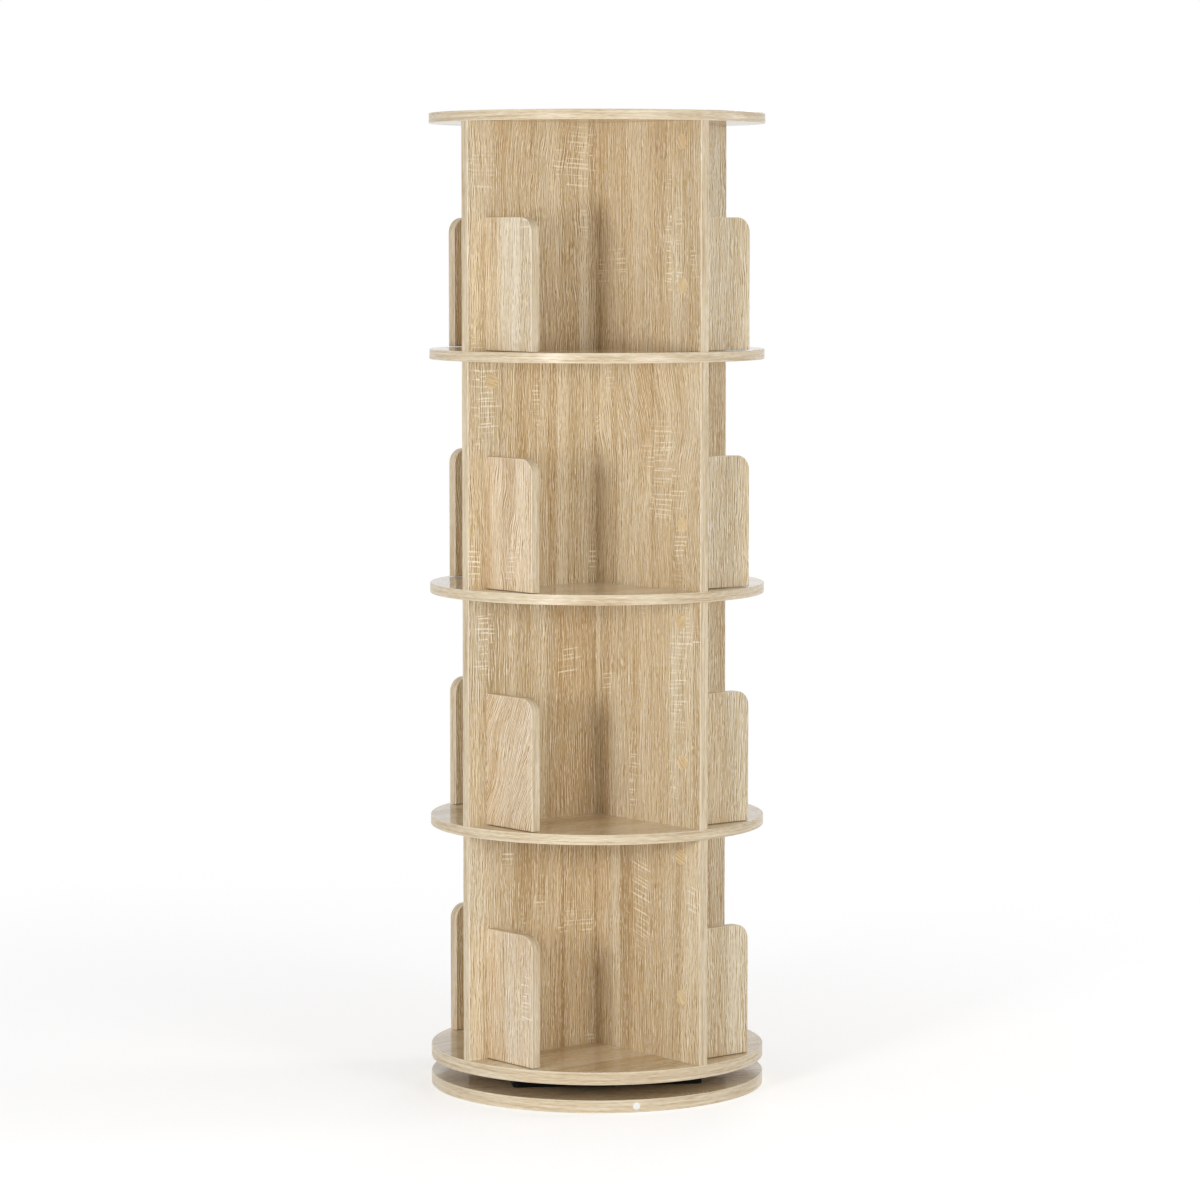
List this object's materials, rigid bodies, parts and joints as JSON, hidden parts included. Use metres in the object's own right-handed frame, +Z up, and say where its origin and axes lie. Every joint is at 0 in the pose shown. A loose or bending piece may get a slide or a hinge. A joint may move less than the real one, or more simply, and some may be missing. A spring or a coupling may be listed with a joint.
{
  "type": "revolving bookcase",
  "caption": "Tall round revolving bookcase: disc shelves on crossed uprights with short rounded book stops, turning on a ball-bearing turntable above a fixed round base.",
  "frame": {"origin": "centre of the base disc's underside, on the floor", "axes": "+Z up along the turning axis; the arms of the cross lie along X and Y at rest"},
  "size_m": [0.3999, 0.4, 1.164],
  "materials": {
    "oak_laminate": "matt printed oak laminate on particleboard",
    "black_steel": "black powder coat on pressed steel",
    "zinc_steel": "zinc plated steel",
    "zinc_alloy": "die-cast zinc alloy",
    "bearing_steel": "polished bearing steel",
    "cage_plastic": "natural moulded nylon",
    "beech_dowel": "bare fluted beech",
    "cover_film": "self-adhesive oak print film",
    "label_paper": "blank white paper label"
  },
  "bodies": {
    "base": {"base_disc": "oak_laminate", "base_label": "label_paper", "turntable_lower_plate": "black_steel", "turntable_lower_screws": "zinc_steel", "turntable_rivet": "zinc_steel"},
    "ball_ring": {"turntable_ball_cage": "cage_plastic", "turntable_balls": "bearing_steel"},
    "carousel": {"bottom_shelf": "oak_laminate", "lower_shelf": "oak_laminate", "middle_shelf": "oak_laminate", "upper_shelf": "oak_laminate", "top_panel": "oak_laminate", "upright_wide_tier_1": "oak_laminate", "upright_rear_tier_1": "oak_laminate", "upright_front_tier_1": "oak_laminate", "upright_wide_tier_2": "oak_laminate", "upright_rear_tier_2": "oak_laminate", "upright_front_tier_2": "oak_laminate", "upright_wide_tier_3": "oak_laminate", "upright_rear_tier_3": "oak_laminate", "upright_front_tier_3": "oak_laminate", "upright_wide_tier_4": "oak_laminate", "upright_rear_tier_4": "oak_laminate", "upright_front_tier_4": "oak_laminate", "divider_right_tier_1": "oak_laminate", "divider_rear_tier_1": "oak_laminate", "divider_left_tier_1": "oak_laminate", "divider_front_tier_1": "oak_laminate", "divider_right_tier_2": "oak_laminate", "divider_rear_tier_2": "oak_laminate", "divider_left_tier_2": "oak_laminate", "divider_front_tier_2": "oak_laminate", "divider_right_tier_3": "oak_laminate", "divider_rear_tier_3": "oak_laminate", "divider_left_tier_3": "oak_laminate", "divider_front_tier_3": "oak_laminate", "divider_right_tier_4": "oak_laminate", "divider_rear_tier_4": "oak_laminate", "divider_left_tier_4": "oak_laminate", "divider_front_tier_4": "oak_laminate", "turntable_upper_plate": "black_steel", "turntable_upper_screws": "zinc_steel", "upright_screws": "zinc_steel", "upright_dowels": "beech_dowel", "cam_bolts": "zinc_steel", "cam_locks": "zinc_alloy", "cam_covers": "cover_film", "divider_screws": "zinc_steel", "divider_dowels": "beech_dowel", "divider_screw_covers": "cover_film"}
  },
  "joints": [
    {"name": "carousel_turn", "type": "hinge", "parent": "base", "child": "carousel", "pos_m": [0, 0, 0.024], "axis": [0, 0, 1], "continuous": true},
    {"name": "ball_ring_turn", "type": "hinge", "parent": "base", "child": "ball_ring", "pos_m": [0, 0, 0.024], "axis": [0, 0, 1], "continuous": true}
  ],
  "couplings": [
    {"joint": "ball_ring_turn", "follows": "carousel_turn", "ratio": 0.5}
  ]
}
